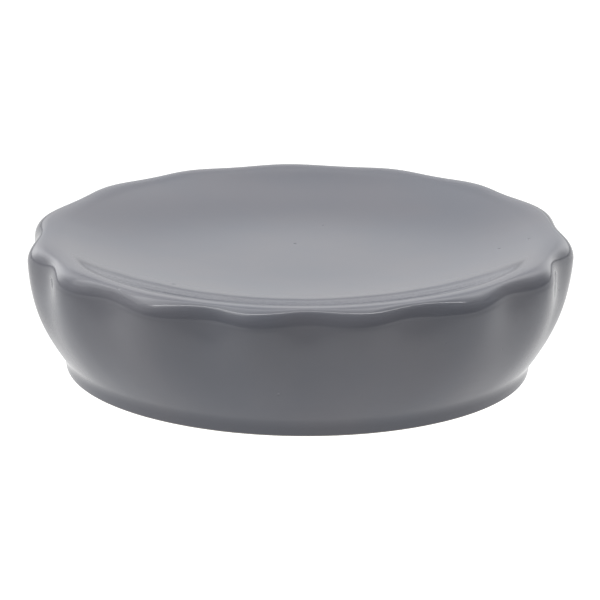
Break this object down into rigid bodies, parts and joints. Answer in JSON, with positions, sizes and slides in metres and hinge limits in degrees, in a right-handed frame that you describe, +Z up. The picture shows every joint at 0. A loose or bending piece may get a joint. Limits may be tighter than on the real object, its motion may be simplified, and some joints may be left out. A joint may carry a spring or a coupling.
{
  "type": "ceramic soap dish",
  "caption": "Round glazed ceramic soap dish with a shallow smooth bowl, a soft scalloped rim whose flutes fade down a flared wall, an open underside and soft foot pads.",
  "frame": {"origin": "on the axis of the dish, in the plane that the foot pads stand on", "axes": "+Z up along the axis of the dish, +Y through a ridge of the flutes, -Y the side that the picture faces"},
  "size_m": [0.1192, 0.1188, 0.0308],
  "materials": {
    "glaze": "gloss slate-grey glaze, bare clay under the foot",
    "pad": "matte soft pad"
  },
  "bodies": {
    "root": {"dish_body": "glaze", "foot_pad_back_right": "pad", "foot_pad_back_left": "pad", "foot_pad_front_left": "pad", "foot_pad_front_right": "pad"}
  },
  "joints": []
}
